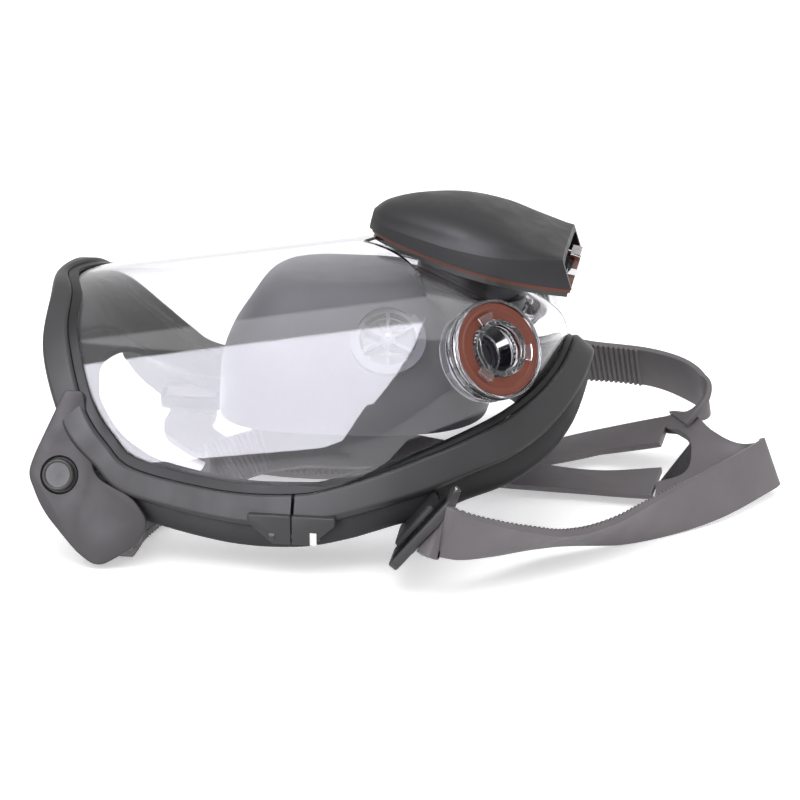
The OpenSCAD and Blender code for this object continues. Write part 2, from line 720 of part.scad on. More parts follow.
// ---------- what is shown ----------
lens();
lens_frame_upper();
lens_frame_lower();
frame_screws();
frame_nuts();
face_seal();
temple_tab_right();
temple_tab_left();
temple_button_right();
temple_button_left();
temple_keeper_right();
temple_keeper_left();
nose_cup();
check_valve_seat_right();
check_valve_seat_left();
check_valve_disc_right();
check_valve_disc_left();
port_right();
port_left();
port_gasket_right();
port_gasket_left();
inhalation_seat_right();
inhalation_seat_left();
inhalation_disc_right();
inhalation_disc_left();
centre_adapter();
adapter_nut();
exhalation_seat();
exhalation_disc();
cover_base();
cover_gasket();
exhalation_cover();
cover_latch();
buckle_lug_right();
buckle_lug_left();
buckle_frame_right();
buckle_frame_left();
buckle_wire_right();
buckle_wire_left();
buckle_pin_right();
buckle_pin_left();
crown_plate();
strap_lower_right();
strap_lower_left();
strap_upper_right();
strap_upper_left();
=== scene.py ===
"""Looks of the full face respirator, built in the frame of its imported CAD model.

Outlines and routes are in millimetres, in the row frame: X from forehead to chin, Y to the wearer's
left, Z up.
"""
import math

import bmesh
import bpy
import numpy as np
from mathutils import Matrix, Vector


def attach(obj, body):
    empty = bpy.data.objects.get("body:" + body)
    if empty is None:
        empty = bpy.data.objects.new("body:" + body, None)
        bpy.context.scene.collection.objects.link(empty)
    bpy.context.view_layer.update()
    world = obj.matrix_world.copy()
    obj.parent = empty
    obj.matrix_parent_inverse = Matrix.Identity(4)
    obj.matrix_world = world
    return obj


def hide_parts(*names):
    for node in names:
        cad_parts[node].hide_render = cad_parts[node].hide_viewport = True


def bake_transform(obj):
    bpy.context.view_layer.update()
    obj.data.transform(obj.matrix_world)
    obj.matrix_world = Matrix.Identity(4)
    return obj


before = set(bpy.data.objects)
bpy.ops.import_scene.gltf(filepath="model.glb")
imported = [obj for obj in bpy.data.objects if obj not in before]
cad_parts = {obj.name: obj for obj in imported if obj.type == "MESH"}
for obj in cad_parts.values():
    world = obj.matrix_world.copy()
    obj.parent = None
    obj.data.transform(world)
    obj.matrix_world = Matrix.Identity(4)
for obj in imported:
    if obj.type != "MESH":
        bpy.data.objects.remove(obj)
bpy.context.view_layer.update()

MM = 0.001
RIGHT, LEFT = -1, 1
SIDE_NAMES = {RIGHT: "right", LEFT: "left"}

# Lens
LENS_RADIUS = 73
LENS_T = 2.2
LENS_RISE = math.tan(math.radians(9))
CHIN_FALL = 0.19
CREASE = 0.5
# Frame and seal
LIP_W = 3
SEAL_T = 2.6
SPLIT = 7
SPLIT_X = 4
SPLIT_GAP = 0.03
# Ports and exhalation unit
PORT_R = 18.3
PORT_BORE_R = 8.5
COLLAR_R = 10.5
GASKET_R = 17
PORT_DEPTH = 14
PORT_PLACE = (75, -50, 79.5)
PORT_AXIS = (0.61, -0.66, 0.44)
UNIT_PLACE = (60, 0, 101)
UNIT_TILT = 11
NECK_R = 20
COVER_LEN = 80
COVER_T = 2
COVER_LOW = 1.6
END_LEAN = math.tan(math.radians(28))
# Check valves in the nose cup
CHECK_PLACE = (32, -31, 74)
CHECK_AXIS = (0.1, -0.72, 0.68)
# Temple tabs
TAB_OUT = 84
TAB_LEAN = 21.8
TAB_T = 2.8
BUTTON_AT = (-83, 33)
# Lower buckles
HINGE_PLACE = (55, -79, 25)
BAR_TILT = 40
# Camera: direction, distance from the point it turns about, and how far aside that point shows,
# in pixels over the focal length in pixels
CAMERA_AZIMUTH = 10
CAMERA_ELEVATION = 19
CAMERA_DISTANCE = 1.1
CAMERA_TARGET = (0, 0, 0.039)
CAMERA_ASIDE = 82 / 2860
# Harness
STRAP_W = 20
STRAP_T = 2.4
TOOTH_PITCH = 2.1
TOOTH_RISE = 0.9

# Lens edge, from the forehead to the chin, one side
RING = [[-95, 0, 86], [-89, 21, 83.5], [-85, 42, 74], [-75, 62, 55], [-65, 68.5, 43],
    [-54, 71.5, 35], [-22, 73, 29], [4, 73, 29], [20, 71, 32], [36, 67, 37], [48, 62, 41],
    [60, 56, 45], [75, 46, 51], [86, 33, 57], [93, 18, 63], [96, 0, 68]]
# Outer edge of the frame band, at the same stations
BAND = [[-101, 0, 85], [-98, 22, 83.5], [-95, 46, 68], [-83, 66, 47], [-70, 71.5, 34],
    [-57, 75, 25], [-22, 78.5, 18.5], [4, 79, 18], [22, 77, 21.5], [40, 73, 26.5],
    [53, 68, 30], [65, 61, 34], [80, 52, 39], [92, 38, 45], [101, 21, 54], [105, 0, 61]]
# Lowest outer line of the face seal
KEEL = [[-98, 0, 60], [-94, 21, 58], [-90, 43, 50], [-80, 61, 34], [-68, 68, 24],
    [-56, 73, 17], [-22, 77, 10.5], [4, 77.5, 10], [22, 75.5, 13], [40, 71, 18],
    [53, 66, 21], [65, 59, 25], [80, 50, 29], [92, 37, 35], [100, 21, 43], [103, 0, 50]]
# Edge of the seal lip around the face opening
LIP = [[-84, 0, 50], [-81, 18, 49], [-77, 32, 44], [-69, 42, 37], [-60, 48, 32],
    [-48, 52, 28], [-20, 55, 24], [3, 55, 24], [18, 54, 25], [33, 51, 27], [43, 47, 29],
    [52, 42, 31], [61, 34, 33], [69, 25, 35], [75, 13, 37], [77, 0, 38]]
LAST = len(RING) - 1


# ---------- vectors, splines and outlines ----------
def unit(v):
    v = np.asarray(v, float)
    return v / max(np.linalg.norm(v), 1e-9)


def mix(a, b, t):
    return a + (b - a) * t


def blend4(a, b, c, d, t):
    """Catmull-Rom spline between b and c."""
    return 0.5 * (2 * b + (c - a) * t + (2 * a - 5 * b + 4 * c - d) * t * t
                  + (3 * b - a - 3 * c + d) * t ** 3)


def at(points, s):
    """Point at station s of a list of points, or of numbers."""
    points = np.asarray(points, float)
    n = len(points) - 1
    i = min(max(int(math.floor(s)), 0), n - 1)
    return blend4(points[max(i - 1, 0)], points[i], points[i + 1], points[min(i + 2, n)], s - i)


def flip(p):
    return np.array([p[0], -p[1], p[2]], float)


def both(points, s):
    """Point of a mirrored outline: a negative station is on the wearer's right."""
    if s < 0:
        return flip(both(points, -s))
    points = np.asarray(points, float)
    n = len(points) - 1
    i = min(int(math.floor(s)), n - 1)
    before = flip(points[1]) if i == 0 else points[i - 1]
    after = flip(points[n - 1]) if i == n - 1 else points[i + 2]
    return blend4(before, points[i], points[i + 1], after, s - i)


def loop_at(points, s):
    """Same, with the station running on past the chin and past the forehead."""
    if s > LAST:
        s -= 2 * LAST
    if s < -LAST:
        s += 2 * LAST
    return both(points, s)


def rounded(corners, steps=4):
    """Outline with its corners rounded: each corner is (x, y, radius)."""
    line = []
    n = len(corners)
    for i, (x, y, r) in enumerate(corners):
        p = np.array([x, y], float)
        q = np.array(corners[i - 1][:2], float) - p
        t = np.array(corners[(i + 1) % n][:2], float) - p
        reach = min(r, 0.45 * np.linalg.norm(q), 0.45 * np.linalg.norm(t))
        for k in range(steps + 1):
            u = k / steps
            line.append(p + unit(q) * reach * (1 - u) ** 2 + unit(t) * reach * u * u)
    return np.array(line)


def turned(points, axis, degrees):
    return np.asarray(points) @ np.array(Matrix.Rotation(math.radians(degrees), 3, axis)).T


def aimed(points, place, direction):
    """Turns +Z to a direction at a place, the way the CAD model does."""
    d = unit(direction)
    tilt = math.degrees(math.acos(d[2]))
    heading = math.degrees(math.atan2(d[1], d[0]))
    return turned(turned(points, "Y", tilt), "Z", heading) + np.asarray(place, float)


def on_side(points, side):
    return np.asarray(points) * np.array([1, -1 if side == LEFT else 1, 1])


def on_port(points, side):
    return on_side(aimed(points, PORT_PLACE, PORT_AXIS), side)


def on_unit(points):
    return turned(points, "Y", UNIT_TILT) + np.array(UNIT_PLACE, float)


def on_tab(points, side):
    return on_side(turned(points, "X", 90 - TAB_LEAN) + np.array([0, -TAB_OUT, 0]), side)


def on_buckle(points, side):
    return on_side(turned(points, "Y", BAR_TILT) + np.array(HINGE_PLACE, float), side)


# ---------- meshes ----------
def grid(rows, closed=False):
    """Points and faces of a solid through rows of points; closed joins the last row to the first."""
    rows = np.asarray(rows, float)
    n, m = rows.shape[:2]
    faces = []
    for i in range(n if closed else n - 1):
        for j in range(m):
            k = (j + 1) % m
            a = i * m
            b = ((i + 1) % n) * m
            faces.append((a + j, a + k, b + k, b + j))
    if not closed:
        faces.append(tuple(range(m))[::-1])
        faces.append(tuple((n - 1) * m + j for j in range(m)))
    return rows.reshape(-1, 3), faces


def revolve(profile, steps=96, start=0, sweep=360):
    """Points and faces of a profile of (radius, height) turned round Z."""
    count = steps if sweep == 360 else steps + 1
    angles = [math.radians(start + sweep * k / steps) for k in range(count)]
    rows = [[[r * math.cos(a), r * math.sin(a), z] for r, z in profile] for a in angles]
    return grid(rows, closed=sweep == 360)


def slab(outline, low, high, edge=0.6):
    """Points and faces of a plate with this outline, with softened edges."""
    line = np.asarray(outline, float)
    along = np.roll(line, -1, axis=0) - np.roll(line, 1, axis=0)
    along /= np.linalg.norm(along, axis=1)[:, None] + 1e-9
    inward = np.stack([-along[:, 1], along[:, 0]], axis=1)
    turn = np.sum(line[:, 0] * np.roll(line[:, 1], -1) - np.roll(line[:, 0], -1) * line[:, 1])
    inward *= 1 if turn > 0 else -1
    rows = []
    for inset, z in ((1, low), (0.3, low + 0.3 * edge), (0, low + edge),
                     (0, high - edge), (0.3, high - 0.3 * edge), (1, high)):
        flat = line + inward * inset * edge
        rows.append(np.column_stack([flat, np.full(len(flat), z)]))
    return grid(rows)


def tube(route, radius, sides=12):
    """Points and faces of a round rod along a route of points."""
    route = np.asarray(route, float)
    rows = []
    side = None
    for i, p in enumerate(route):
        along = unit(route[min(i + 1, len(route) - 1)] - route[max(i - 1, 0)])
        if side is None:
            side = unit(np.cross(along, [0.3, 0.2, 1]))
        side = unit(side - along * (side @ along))
        up = np.cross(along, side)
        rows.append([p + radius * (side * math.cos(a) + up * math.sin(a))
                     for a in np.linspace(0, 2 * math.pi, sides, endpoint=False)])
    return grid(rows)


def moved(shape, place):
    return place(shape[0]), shape[1]


def piece(name, shapes, material, body="root", stands_for=(), crisp=32, ride=True):
    """One object out of one or more solids, riding on a CAD body."""
    mesh = bpy.data.meshes.new(name)
    points, faces = [], []
    for verts, quads in shapes:
        first = len(points)
        points.extend(np.asarray(verts) * MM)
        faces.extend(tuple(first + k for k in f) for f in quads)
    mesh.from_pydata([tuple(p) for p in points], [], faces)
    bm = bmesh.new()
    bm.from_mesh(mesh)
    bmesh.ops.remove_doubles(bm, verts=bm.verts, dist=1e-6)
    bmesh.ops.recalc_face_normals(bm, faces=bm.faces)
    bm.to_mesh(mesh)
    bm.free()
    crisp_edges(mesh, crisp)
    mesh.materials.append(material)
    obj = bpy.data.objects.new(name, mesh)
    bpy.context.scene.collection.objects.link(obj)
    if stands_for:
        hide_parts(*stands_for)
    if ride:
        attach(obj, body)
    return obj


def crisp_edges(mesh, degrees):
    """Smooth shading, except across edges sharper than this angle."""
    limit = math.radians(degrees)
    bm = bmesh.new()
    bm.from_mesh(mesh)
    for f in bm.faces:
        f.smooth = True
    for e in bm.edges:
        e.smooth = len(e.link_faces) == 2 and e.calc_face_angle(0) < limit
    bm.to_mesh(mesh)
    bm.free()


def cut(obj, *shapes, crisp=32):
    """Takes closed shapes out of a piece."""
    for shape in shapes:
        mesh = bpy.data.meshes.new("tool")
        mesh.from_pydata([tuple(p * MM) for p in shape[0]], [], shape[1])
        bm = bmesh.new()
        bm.from_mesh(mesh)
        bmesh.ops.recalc_face_normals(bm, faces=bm.faces)
        bm.to_mesh(mesh)
        bm.free()
        tool = bpy.data.objects.new("tool", mesh)
        bpy.context.scene.collection.objects.link(tool)
        step = obj.modifiers.new("cut", "BOOLEAN")
        step.operation = "DIFFERENCE"
        step.solver = "EXACT"
        step.object = tool
        result = obj.evaluated_get(bpy.context.evaluated_depsgraph_get())
        new = bpy.data.meshes.new_from_object(result)
        obj.modifiers.clear()
        old, obj.data = obj.data, new
        new.name = obj.name
        bpy.data.meshes.remove(old)
        bpy.data.objects.remove(tool)
        bpy.data.meshes.remove(mesh)
    crisp_edges(obj.data, crisp)
    return obj


# ---------- materials ----------
class Nodes:
    """Short hand for building a node material."""

    def __init__(self, name):
        self.material = bpy.data.materials.new(name)
        self.material.use_nodes = True
        self.tree = self.material.node_tree
        self.shader = self.tree.nodes["Principled BSDF"]
        self.place = self.add("ShaderNodeTexCoord").outputs["Object"]

    def add(self, kind, **settings):
        node = self.tree.nodes.new(kind)
        for key, value in settings.items():
            setattr(node, key, value)
        return node

    def link(self, a, b):
        self.tree.links.new(a, b)

    def noise(self, size_mm, detail=3, rough=0.55, stretch=None):
        """Noise whose blotches are about this many millimetres across."""
        node = self.add("ShaderNodeTexNoise")
        node.inputs["Scale"].default_value = 1000 / size_mm
        node.inputs["Detail"].default_value = detail
        node.inputs["Roughness"].default_value = rough
        place = self.place
        if stretch:
            mapping = self.add("ShaderNodeMapping")
            mapping.inputs["Scale"].default_value = stretch
            self.link(place, mapping.inputs["Vector"])
            place = mapping.outputs["Vector"]
        self.link(place, node.inputs["Vector"])
        return node.outputs["Fac"]

    def ramp(self, value, stops):
        node = self.add("ShaderNodeValToRGB")
        node.color_ramp.elements[0].position = stops[0][0]
        node.color_ramp.elements[0].color = (*stops[0][1], 1)
        node.color_ramp.elements[1].position = stops[-1][0]
        node.color_ramp.elements[1].color = (*stops[-1][1], 1)
        for spot, colour in stops[1:-1]:
            node.color_ramp.elements.new(spot).color = (*colour, 1)
        self.link(value, node.inputs["Fac"])
        return node.outputs["Color"]

    def span(self, value, low, high):
        node = self.add("ShaderNodeMapRange")
        node.inputs["From Min"].default_value = 0.3
        node.inputs["From Max"].default_value = 0.7
        node.inputs["To Min"].default_value = low
        node.inputs["To Max"].default_value = high
        self.link(value, node.inputs["Value"])
        return node.outputs["Result"]

    def bump(self, value, depth_mm, strength=1, after=None):
        node = self.add("ShaderNodeBump")
        node.inputs["Distance"].default_value = depth_mm * MM
        node.inputs["Strength"].default_value = strength
        self.link(value, node.inputs["Height"])
        if after is not None:
            self.link(after, node.inputs["Normal"])
        return node.outputs["Normal"]

    def paint_edge_highlight(self, colour, pale, amount):
        """Lightens the colour along sharp outer edges: a painted edge highlight."""
        geometry = self.add("ShaderNodeNewGeometry")
        edge = self.ramp(geometry.outputs["Pointiness"], ((0.52, (0, 0, 0)), (0.62, (amount,) * 3)))
        blend = self.add("ShaderNodeMix", data_type="RGBA")
        self.link(edge, blend.inputs["Factor"])
        self.link(colour, blend.inputs["A"])
        blend.inputs["B"].default_value = (*pale, 1)
        return blend.outputs["Result"]


def moulded(name, colour, rough, grain_mm=0.5, depth_mm=0.02, mottle=0.12, edge_highlight=0.0, specular=0.5,
            sheen=0.0):
    """Moulded plastic or rubber: mottled colour, fine grain and uneven gloss, with an optional painted
    highlight along sharp edges.
    """
    n = Nodes(name)
    dark = tuple(c * (1 - mottle) for c in colour)
    light = tuple(c * (1 + mottle) for c in colour)
    tint = n.ramp(n.noise(26, detail=5), ((0.3, dark), (0.5, colour), (0.7, light)))
    # Painted highlight: sharp outer edges are lightened in the colour itself.
    if edge_highlight:
        tint = n.paint_edge_highlight(tint, tuple(min(c * 2.2 + 0.02, 1) for c in colour), edge_highlight)
    n.link(tint, n.shader.inputs["Base Color"])
    n.link(n.span(n.noise(9, detail=6), rough - 0.06, rough + 0.07), n.shader.inputs["Roughness"])
    grain = n.bump(n.noise(grain_mm, detail=2), depth_mm)
    n.link(n.bump(n.noise(14, detail=2), 0.12, 0.5, after=grain), n.shader.inputs["Normal"])
    n.shader.inputs["Specular IOR Level"].default_value = specular
    if sheen:
        n.shader.inputs["Sheen Weight"].default_value = sheen
        n.shader.inputs["Sheen Roughness"].default_value = 0.5
    return n.material


def clear(name, tint, rough=0.02, ior=1.49, smears=0.04, ripple_mm=0.0):
    """Clear plastic with faint handling smears and mould ripple."""
    n = Nodes(name)
    pale = tuple(min(c * 1.03, 1) for c in tint)
    n.link(n.ramp(n.noise(60, detail=2), ((0.3, tint), (0.7, pale))), n.shader.inputs["Base Color"])
    n.link(n.span(n.noise(18, detail=7, stretch=(0.5, 1.5, 1)), rough, rough + smears),
           n.shader.inputs["Roughness"])
    if ripple_mm:
        n.link(n.bump(n.noise(30, detail=1), ripple_mm, 0.4), n.shader.inputs["Normal"])
    n.shader.inputs["Transmission Weight"].default_value = 1
    n.shader.inputs["IOR"].default_value = ior
    return n.material


def metal(name, colour, rough, brush_mm=0.3):
    n = Nodes(name)
    dark = tuple(c * 0.8 for c in colour)
    n.link(n.ramp(n.noise(7, detail=5), ((0.3, dark), (0.65, colour))), n.shader.inputs["Base Color"])
    n.link(n.span(n.noise(4, detail=6), rough - 0.06, rough + 0.12), n.shader.inputs["Roughness"])
    n.link(n.bump(n.noise(brush_mm, detail=2, stretch=(6, 6, 1)), 0.01), n.shader.inputs["Normal"])
    n.shader.inputs["Metallic"].default_value = 1
    return n.material


# The edge amounts below set how strong each material's painted edge highlight is.
FRAME_GREY = moulded("frame_satin", (0.030, 0.028, 0.030), 0.45, mottle=0.1, edge_highlight=0.3, specular=0.38)
COVER_GREY = moulded("cover_satin", (0.012, 0.011, 0.013), 0.46, grain_mm=0.4, mottle=0.08, edge_highlight=0.25,
                     specular=0.34)
TAB_GREY = moulded("tab_satin", (0.032, 0.028, 0.030), 0.48, mottle=0.12, edge_highlight=0.35, specular=0.38)
SEAL_BLACK = moulded("seal_rubber", (0.018, 0.017, 0.019), 0.5, mottle=0.16, depth_mm=0.03, specular=0.3)
LIP_BLACK = moulded("lens_lip_rubber", (0.008, 0.008, 0.009), 0.4, mottle=0.1, specular=0.3)
CUP_GREY = moulded("cup_silicone", (0.060, 0.057, 0.064), 0.5, mottle=0.08, sheen=0.08, specular=0.35)
SEAT_GREY = moulded("valve_seat_grey", (0.085, 0.082, 0.092), 0.38, mottle=0.08)
BLACK = moulded("black_nylon", (0.018, 0.018, 0.018), 0.36, mottle=0.12, edge_highlight=0.25)
GASKET_RED = moulded("gasket_silicone", (0.130, 0.030, 0.016), 0.45, mottle=0.12, specular=0.35)
HARNESS_GREY = moulded("harness_rubber", (0.120, 0.110, 0.117), 0.5, mottle=0.07, depth_mm=0.03,
                       edge_highlight=0.25, specular=0.35)
LENS_CLEAR = clear("lens_polycarbonate", (0.955, 0.95, 0.985), rough=0.0, ior=1.5, smears=0.035)
PORT_CLEAR = clear("port_polycarbonate", (0.93, 0.93, 0.95), rough=0.02, smears=0.05, ripple_mm=0.2)
FLAP_CLEAR = clear("flap_silicone", (0.8, 0.8, 0.83), rough=0.2, ior=1.42, smears=0.1)
STEEL = metal("wire_steel", (0.72, 0.71, 0.70), 0.2)


# ---------- lens ----------
def crest(x):
    return 86 + (x + 95) * LENS_RISE


def on_cylinder(x, a, r):
    return np.array([x, r * math.sin(a), crest(x) - LENS_RADIUS + r * math.cos(a)])


def lens_point(s, v, inset):
    """Station s on the forehead edge; v runs 0 to 1, from the forehead past the crease to the chin."""
    edge = both(RING, s)
    a = math.atan2(edge[1], edge[2] - crest(edge[0]) + LENS_RADIUS)
    r = LENS_RADIUS - inset
    fold = on_cylinder(18 + 30 * max(math.sin(2.3 * abs(a)), 0), a, r)
    if v < CREASE:
        return mix(on_cylinder(edge[0], a, r), fold, v / CREASE)
    station = LAST - 7 * abs(math.degrees(a) / 90) ** 1.5
    chin = both(RING, -station if a < 0 else station)
    stop = chin - inset * unit(chin - np.array([chin[0] - 20, 0, chin[2]]))
    turn = math.pi * (v - CREASE)
    q = math.sin(turn) ** 0.67
    c = 1 - max(math.cos(turn), 0) ** 0.67
    fall = CHIN_FALL * (stop[0] - fold[0])
    x = mix(fold[0], stop[0], q)
    z = fold[2] - CHIN_FALL * (x - fold[0]) - (fold[2] - fall - stop[2]) * c
    return np.array([x, mix(fold[1], stop[1], c), z])


def make_lens():
    stations = np.linspace(-SPLIT, SPLIT, 141)
    steps = list(np.linspace(0, CREASE, 14)) + list(mix(CREASE, 1, np.linspace(0, 1, 37)[1:]))
    rows = [[lens_point(s, v, 0.1) for v in steps]
            + [lens_point(s, v, LENS_T) for v in reversed(steps)] for s in stations]
    lens = piece("lens_shell", [grid(rows)], LENS_CLEAR, stands_for=["lens"], crisp=9)
    plug = [(0.001, -30), (PORT_R - 2.5, -30), (PORT_R - 2.5, 10), (0.001, 10)]
    neck = [(0.001, -30), (NECK_R + 0.3, -30), (NECK_R + 0.3, 10), (0.001, 10)]
    cutters = [moved(revolve(plug), lambda p, side=side: on_port(p, side)) for side in SIDE_NAMES]
    return cut(lens, *cutters, moved(revolve(neck), on_unit), crisp=9)


# ---------- frame ----------
def frame_axes(s):
    p = loop_at(RING, s)
    across = loop_at(BAND, s) - p
    w = unit(across)
    along = unit(loop_at(RING, s + 0.2) - loop_at(RING, s - 0.2))
    return p, w, unit(np.cross(along, w)), np.linalg.norm(across)


def band_row(s):
    p, w, out, b = frame_axes(s)
    profile = rounded([(0.9, -2.2, 0.3), (0.9, 2.0, 0.5), (2.0, 2.9, 0.8), (b - 1.0, 2.6, 1.3),
                       (b, 0.6, 0.9), (b, -1.8, 0.5), (b - 1.5, -2.2, 0.5)])
    return [p + w * q + out * h for q, h in profile]


def screw_lug(toward, side):
    """Trapezoid beside the split that holds the clamp screw, or its nut."""
    foot = np.array([[0.15, 23], [0.15, 12], [7, 12], [16, 20], [16, 23]])
    corners = [(x, z, 0.8) for x, z in foot]
    plate, faces = slab(rounded(corners), 77.6, 81.7, 0.5)
    points = np.column_stack([SPLIT_X + toward * plate[:, 0], -plate[:, 2], plate[:, 1]])
    return on_side(points, side), faces


def lip_row(s):
    p, w, out, _ = frame_axes(s)
    profile = rounded([(-LIP_W, 0.05, 0.2), (-LIP_W, 1.1, 0.6), (0.85, 1.5, 0.4), (0.85, -1.2, 0.2),
                       (0.05, -1.2, 0.1), (0.05, 0.05, 0.1)])
    return [p + w * q + out * h for q, h in profile]


def make_frame():
    upper = np.linspace(-SPLIT + SPLIT_GAP, SPLIT - SPLIT_GAP, 281)
    lower = np.linspace(SPLIT + SPLIT_GAP, 2 * LAST - SPLIT - SPLIT_GAP, 321)
    for name, stations, toward in (("upper", upper, -1), ("lower", lower, 1)):
        lugs = [screw_lug(toward, side) for side in SIDE_NAMES]
        piece(f"frame_band_{name}", [grid([band_row(s) for s in stations])] + lugs, FRAME_GREY,
              stands_for=[f"lens_frame_{name}"], crisp=38)
    around = np.linspace(-LAST, LAST, 361)[:-1]
    piece("lens_lip", [grid([lip_row(s) for s in around], closed=True)], LIP_BLACK)


# ---------- face seal ----------
def seal_line(s, inset):
    p, w, out, b = frame_axes(s)
    k, lip = loop_at(KEEL, s), loop_at(LIP, s)
    inward = -inset * unit([k[0], k[1], 0])
    up = np.array([0, 0, inset])
    knots = [p + w * 2 - out * (2.3 + inset), p + w * (b - 0.5) - out * (2.3 + 0.6 * inset) + inward,
             k + inward + up, mix(k, lip, 0.22) + up - np.array([0, 0, 2]), lip + up]
    return [at(knots, q) for q in np.linspace(0, 4, 29)]


def make_seal():
    stations = np.linspace(-LAST, LAST, 301)[:-1]
    rows = [seal_line(s, 0) + seal_line(s, SEAL_T)[::-1] for s in stations]
    piece("face_seal_skirt", [grid(rows, closed=True)], SEAL_BLACK,
          stands_for=["face_seal"], crisp=40)


# ---------- nose cup ----------
CUP_MID = np.array([15, 0, 40])
CUP_SIZE = (51, 40, 53)


# Upright section of the cup as (share of the radius, share of the height), from rim to crown
CUP_WALL = rounded([(0, -1, 0), (1, 0, 0), (0.97, 0.5, 0.22), (0.62, 0.99, 0.16), (0.05, 1, 0)], 9)[19:41]


def boxy(v, power=0.68):
    return math.copysign(abs(v) ** power, v)


def cup_point(a, step, inset):
    """Turn a round the rim; steps run from the rim over the bevel to the crown."""
    r, h = CUP_WALL[step]
    return CUP_MID + np.array([
        (CUP_SIZE[0] - inset) * r * boxy(math.cos(a)),
        (CUP_SIZE[1] - inset) * r * boxy(math.sin(a)) * (1 - 0.12 * math.cos(a)),
        (CUP_SIZE[2] - inset) * h])


def make_nose_cup():
    turns = np.linspace(0, 2 * math.pi, 129)[:-1]
    steps = range(len(CUP_WALL))
    shell = [[cup_point(a, k, 0) for a in turns] for k in steps]
    hollow = [[cup_point(a, k, 2) for a in turns] for k in steps]
    cup = piece("nose_cup_shell", [grid(hollow[::-1] + shell)], CUP_GREY,
                stands_for=["nose_cup"], crisp=40, ride=False)
    valve = [(0.001, -10), (12, -10), (12, 10), (0.001, 10)]
    neck = [(0.001, -35), (NECK_R + 0.05, -35), (NECK_R + 0.05, 5), (0.001, 5)]
    holes = [moved(revolve(valve), lambda p, side=side: on_side(
        aimed(p, CHECK_PLACE, CHECK_AXIS), side)) for side in SIDE_NAMES]
    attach(cut(cup, *holes, moved(revolve(neck), on_unit), crisp=40), "root")


# ---------- ports ----------
def make_ports():
    body = rounded([(PORT_BORE_R, -PORT_DEPTH, 0.4), (COLLAR_R, -PORT_DEPTH, 0.4),
                    (COLLAR_R, -4.7, 0.5), (PORT_R - 2.6, -4.7, 0.4), (PORT_R - 2.6, 1 - PORT_DEPTH, 0.4),
                    (PORT_R - 1, 1 - PORT_DEPTH, 0.4), (PORT_R - 1, -4.7, 0.3), (PORT_R, -4.2, 0.3),
                    (PORT_R, 0.4, 0.5), (GASKET_R + 0.2, 0.4, 0.4), (GASKET_R + 0.2, -2.2, 0.2),
                    (COLLAR_R, -2.2, 0.2), (COLLAR_R, 2.2, 0.4), (PORT_BORE_R, 2.2, 0.4)])
    lug = rounded([(COLLAR_R - 0.5, 0.4, 0.1), (COLLAR_R + 2.9, 0.4, 0.4), (COLLAR_R + 2.9, 1.9, 0.5),
                   (COLLAR_R - 0.5, 1.9, 0.1)])
    gasket = rounded([(COLLAR_R + 0.1, -2.2, 0.2), (GASKET_R, -2.2, 0.2), (GASKET_R, -0.2, 0.5),
                      (GASKET_R - 1.6, -0.1, 0.3), (GASKET_R - 2.1, 0.3, 0.3), (GASKET_R - 2.7, 0.3, 0.3),
                      (GASKET_R - 3.2, -0.1, 0.3), (COLLAR_R + 1.2, -0.1, 0.4), (COLLAR_R + 0.1, -0.3, 0.4)])
    for side, name in SIDE_NAMES.items():
        def place(p, side=side):
            return on_port(p, side)
        lugs = [moved(revolve(lug, 12, 60 + 120 * k, 26), place) for k in range(3)]
        piece(f"port_body_{name}", [moved(revolve(body), place)] + lugs, PORT_CLEAR,
              stands_for=[f"port_{name}"])
        piece(f"port_seal_{name}", [moved(revolve(gasket), place)], GASKET_RED,
              stands_for=[f"port_gasket_{name}"])


# ---------- exhalation cover ----------
COVER_W = [[0, 5], [0.06, 11], [0.2, 19], [0.4, 27], [0.6, 31], [0.8, 30], [1, 25]]
COVER_SKIRT = [5, 6, 7, 8, 9.5, 11, 12]
COVER_TOP = [8, 12.5, 17, 20, 19, 15.5, 12.6]


def cover_half(s):
    return at([w for _, w in COVER_W], s)


def cover_row(s, inset, share=1):
    """Half-round section of the cover; share flattens it towards the rim."""
    w = cover_half(s) - inset
    k = at(COVER_SKIRT, s) - inset
    h = at(COVER_TOP, s) - inset
    x = COVER_LEN * (at([x for x, _ in COVER_W], s) - 0.5)
    skirt = [[x, -w, COVER_LOW], [x, -w - 0.15, mix(COVER_LOW, k, 0.5)], [x, -w, k - 0.7],
             [x, -w + 0.5, k]]
    roof = [[x, (w - 1.5) * math.cos(a), k + (h - k) * math.sin(a) ** 0.75]
            for a in np.radians(np.linspace(174, 6, 43))]
    other = [[p[0], -p[1], p[2]] for p in reversed(skirt)]
    back = max(s - 4, 0) / 2 * END_LEAN
    rows = np.array(skirt + roof + other)
    rows[:, 2] = mix(COVER_LOW, rows[:, 2], share)
    rows[:, 0] -= back * rows[:, 2]
    return on_unit(rows)


def make_cover():
    """The hollow starts flat at the tip, so the tip stays solid."""
    rows = []
    for i, s in enumerate(np.linspace(0, 6, 97)):
        rows.append(np.concatenate([cover_row(s, 0), cover_row(s, COVER_T, min(0.05 + i / 5, 1))[::-1]]))
    piece("exhalation_cover_shell", [grid(rows)], COVER_GREY, body="cover",
          stands_for=["exhalation_cover"], crisp=24)


# ---------- temple tabs ----------
TAB = [[-83, 64, 2], [-93, 40, 7], [-95, 33, 6], [-89, 20, 7], [-75, 5, 8], [-67, 0, 8],
    [-53, 8.5, 6], [-48.5, 17, 5], [-55, 26, 4], [-70, 33, 5], [-76, 64, 2]]


